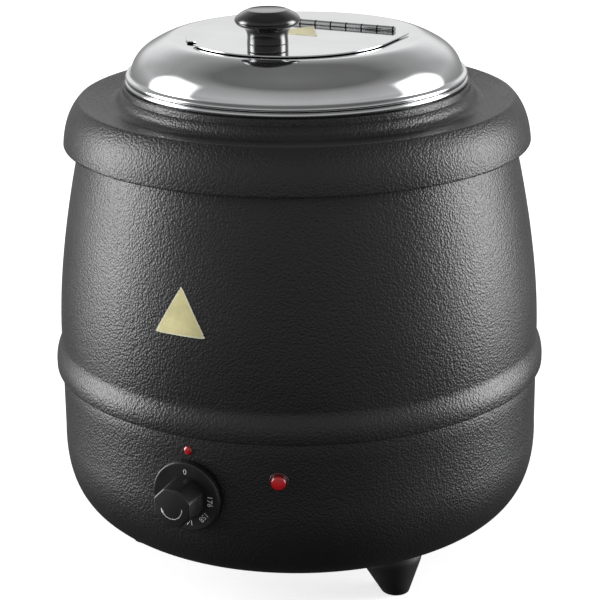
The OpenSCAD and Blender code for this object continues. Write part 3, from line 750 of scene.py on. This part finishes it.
def on_wall(x, y, out):
    radius = wall_radius(body_label_z + y) + out
    return LABEL_TURN @ Vector((x, -math.sqrt(radius ** 2 - x ** 2), body_label_z + y)) * MM


def on_flap(x, y, out):
    tip = LABEL_SIDE * math.sqrt(3) / 2
    spot = Matrix.Rotation(LID_TURN, 2) @ Vector((x, y - tip / 2))
    return Vector((flap_label_middle.x + spot.x, flap_label_middle.y + spot.y, FLAP_TOP_Z + out)) * MM


label("body_label_foil", "housing", "body_label", on_wall)
label("flap_label_foil", "flap", "flap_label", on_flap)


# ---------------------------------------------------------------- dial

DISC_T = 4
GRIP_BASE_R = 14.6
GRIP_FRONT_R = 13.6
NUMERALS = {0: 0, 176: 90, 158: 133, 140: 176, 122: 219}
NUMERAL_RING = 17
NUMERAL_SIZE = 5.2
dial_place = from_front(0, -DIAL_BACK_Y, DIAL_Z)


def disc_section():
    section = line((0, 0), (DIAL_R - 0.4, 0), (DIAL_R, 0.4), (DIAL_R, DISC_T - 1.2))
    section += bend((DIAL_R, DISC_T - 1.2), (DIAL_R, DISC_T), (DIAL_R - 1.4, DISC_T), 8)
    return section + line((DIAL_R - 2, DISC_T), (0, DISC_T))


def grip_mesh(height):
    """Eight-sided grip that narrows to the front, with rounded edges."""
    mesh = bmesh.new()
    rings = []
    for radius, level in ((GRIP_BASE_R, DISC_T - 0.5), (GRIP_FRONT_R, height)):
        ring = circle((0, 0), radius, 8, math.radians(22.5))
        rings.append([mesh.verts.new((p.x * MM, p.y * MM, level * MM)) for p in ring])
    base, front = rings
    mesh.faces.new(base[::-1])
    mesh.faces.new(front)
    for i in range(8):
        mesh.faces.new((base[i], base[(i + 1) % 8], front[(i + 1) % 8], front[i]))
    soft = [e for e in mesh.edges if not all(v in base for v in e.verts)]
    bmesh.ops.bevel(mesh, geom=soft, offset=1.1 * MM, segments=4, profile=0.5, affect="EDGES")
    bmesh.ops.recalc_face_normals(mesh, faces=mesh.faces)
    return mesh


def numeral_mesh(number, angle_deg):
    """A number printed on the disc, its top outward, at an angle clockwise from the top."""
    text = bpy.data.curves.new("numeral", "FONT")
    text.body = str(number)
    text.align_x = "CENTER"
    text.align_y = "CENTER"
    text.size = NUMERAL_SIZE * MM
    text.extrude = 0.04 * MM
    text.resolution_u = 4
    holder = bpy.data.objects.new("numeral", text)
    bpy.context.scene.collection.objects.link(holder)
    graph = bpy.context.evaluated_depsgraph_get()
    data = bpy.data.meshes.new_from_object(holder.evaluated_get(graph))
    bpy.data.objects.remove(holder)
    mesh = bmesh.new()
    mesh.from_mesh(data)
    bmesh.ops.remove_doubles(mesh, verts=mesh.verts, dist=0.001 * MM)
    out = Matrix.Translation((0, NUMERAL_RING * MM, DISC_T * MM))
    return turned(mesh, Matrix.Rotation(-math.radians(angle_deg), 4, "Z") @ out)


def joined(meshes):
    whole = bpy.data.meshes.new("joined")
    total = bmesh.new()
    for mesh in meshes:
        mesh.to_mesh(whole)
        total.from_mesh(whole)
        mesh.free()
    return total


def arrow_mesh(level):
    """A turning arrow: an arc open to the top that thickens into a head on its left."""
    ring = 7.2
    outer, inner = [], []
    steps = 48
    for i in range(steps + 1):
        share = i / steps
        angle = math.radians(5 - 180 * share)
        head = max(0.0, 1 - abs(share - 0.9) / 0.1)
        half = 0.2 + 0.5 * head if share < 0.99 else 0.05
        way = Vector((math.cos(angle), math.sin(angle)))
        outer.append(way * (ring + half))
        inner.append(way * (ring - half))
    return prism(outer + inner[::-1], level - 0.04, level + 0.04)


grip_height = DIAL_BACK_Y - DIAL_FRONT_Y
disc_mesh = turned(lathe(disc_section(), 160), dial_place)
piece("dial_disc", disc_mesh, satin_black, "dial", ["dial_knob"])
piece("dial_grip", turned(grip_mesh(grip_height), dial_place), satin_black, "dial")
numerals = joined([numeral_mesh(number, angle) for number, angle in NUMERALS.items()])
piece("dial_numerals", turned(numerals, dial_place), white_ink, "dial")
piece("dial_arrow", turned(arrow_mesh(grip_height), dial_place), white_ink, "dial")


# ---------------------------------------------------------------- floor, light and camera

CAMERA_AZIMUTH = math.radians(25.45)
CAMERA_ELEVATION = math.radians(18.98)
CAMERA_DISTANCE = 1.3
CAMERA_ROLL = math.radians(0.65)
CAMERA_SHIFT = 0.0018
TARGET = Vector((0, 0, 0.176))


def outward(azimuth, elevation=0.0):
    """Unit vector from the kettle at an azimuth from the front, towards +X, and an elevation."""
    level = Vector((math.sin(azimuth), -math.cos(azimuth), 0))
    return level * math.cos(elevation) + Vector((0, 0, math.sin(elevation)))


SIDE_LIGHT_TURN = 98
SIDE_LIGHT_POWER = 12.0
REAR_WALL_POWER = 0.42
ROOM_GREYS = {0.0: 0.02, 0.33: 0.05, 0.47: 0.3, 0.58: 0.54, 0.74: 0.36, 0.82: 0.16, 1.0: 0.2}


def studio_world():
    """A tall soft light on each side, a bright wall behind and a dim room; the camera sees only white.

    Angles are in degrees: turn is away from the camera's side of the kettle, rise is above the horizon.
    """
    world = bpy.data.worlds.new("studio")
    bpy.context.scene.world = world
    world.use_nodes = True
    tree = world.node_tree
    tree.nodes.clear()
    ray = node(tree, "TexCoord").outputs["Generated"]

    def part(way):
        return node(tree, "VectorMath", {0: ray, 1: tuple(way)}, operation="DOT_PRODUCT").outputs["Value"]

    def fade(value, whole, none):
        """1 up to the angle whole and 0 from the angle none on, in degrees."""
        span = {"Value": value, "From Min": math.radians(whole), "From Max": math.radians(none),
                "To Min": 1.0, "To Max": 0.0}
        return node(tree, "MapRange", span, interpolation_type="SMOOTHSTEP").outputs["Result"]

    def maths(operation, *values):
        return node(tree, "Math", dict(enumerate(values)), operation=operation).outputs[0]

    aside = maths("ABSOLUTE", part(outward(CAMERA_AZIMUTH + math.pi / 2)))
    turn = maths("ARCTAN2", aside, part(outward(CAMERA_AZIMUTH)))
    rise = maths("ARCSINE", part((0, 0, 1)))
    fall = maths("MULTIPLY", rise, -1.0)
    off_side = maths("ABSOLUTE", maths("SUBTRACT", turn, math.radians(SIDE_LIGHT_TURN)))
    side = maths("MULTIPLY", maths("MULTIPLY", fade(off_side, 3, 24), fade(rise, 16, 42)), fade(fall, 0, 24))
    wall_band = maths("MULTIPLY", fade(rise, 17, 40), fade(fall, -12, -1))
    behind = maths("MULTIPLY", maths("SUBTRACT", 1.0, fade(turn, 138, 168)), wall_band)
    height = remap(tree, rise, 0.0, 1.0, -math.pi / 2, math.pi / 2)
    room = ramp(tree, height, *[(share, (grey, grey, grey)) for share, grey in ROOM_GREYS.items()])
    side_light = maths("MULTIPLY", side, SIDE_LIGHT_POWER)
    strength = maths("ADD", side_light, maths("MULTIPLY", behind, REAR_WALL_POWER))
    lights = node(tree, "Background", {"Color": (1, 1, 1, 1), "Strength": strength})
    walls = node(tree, "Background", {"Color": room, "Strength": 1.0})
    lit = node(tree, "AddShader", {0: lights.outputs[0], 1: walls.outputs[0]})
    backdrop = node(tree, "Background", {"Color": (1, 1, 1, 1), "Strength": 1.0})
    seen = node(tree, "LightPath").outputs["Is Camera Ray"]
    mixed = node(tree, "MixShader", {0: seen, 1: lit.outputs[0], 2: backdrop.outputs[0]})
    node(tree, "OutputWorld", {"Surface": mixed.outputs[0]})


def studio_floor():
    """A pale sweep under the kettle."""
    mesh = bmesh.new()
    reach = 12.0
    bmesh.ops.create_grid(mesh, x_segments=8, y_segments=8, size=reach)
    data = bpy.data.meshes.new("floor")
    mesh.to_mesh(data)
    mesh.free()
    material, tree, shader, place = start("pale_floor", roughness=0.9, specular_ior_level=0.1,
                                          emission_strength=0.7)
    shader.inputs["Emission Color"].default_value = (1, 1, 1, 1)
    grain = node(tree, "TexNoise", {"Vector": place, "Scale": 60.0, "Detail": 3.0}).outputs["Fac"]
    tint = ramp(tree, grain, (0.3, (0.8, 0.8, 0.8)), (0.7, (0.84, 0.84, 0.84)))
    tree.links.new(tint, shader.inputs["Base Color"])
    data.materials.append(material)
    floor = bpy.data.objects.new("floor", data)
    bpy.context.scene.collection.objects.link(floor)
    floor.visible_glossy = False
    floor.visible_diffuse = False
    floor.visible_shadow = False


def photo_camera():
    camera = bpy.data.cameras.new("camera")
    camera.sensor_width = 36
    camera.lens = 112.9
    camera.clip_start = 0.05
    camera.clip_end = 60
    camera.shift_x = CAMERA_SHIFT
    holder = bpy.data.objects.new("camera", camera)
    bpy.context.scene.collection.objects.link(holder)
    back = outward(CAMERA_AZIMUTH, CAMERA_ELEVATION)
    holder.location = TARGET + back * CAMERA_DISTANCE
    aim = back.to_track_quat("Z", "Y").to_matrix().to_4x4() @ Matrix.Rotation(-CAMERA_ROLL, 4, "Z")
    holder.rotation_mode = "QUATERNION"
    holder.rotation_quaternion = aim.to_quaternion()
    bpy.context.scene.camera = holder


studio_world()
studio_floor()
photo_camera()
bpy.context.scene.view_settings.view_transform = "Standard"
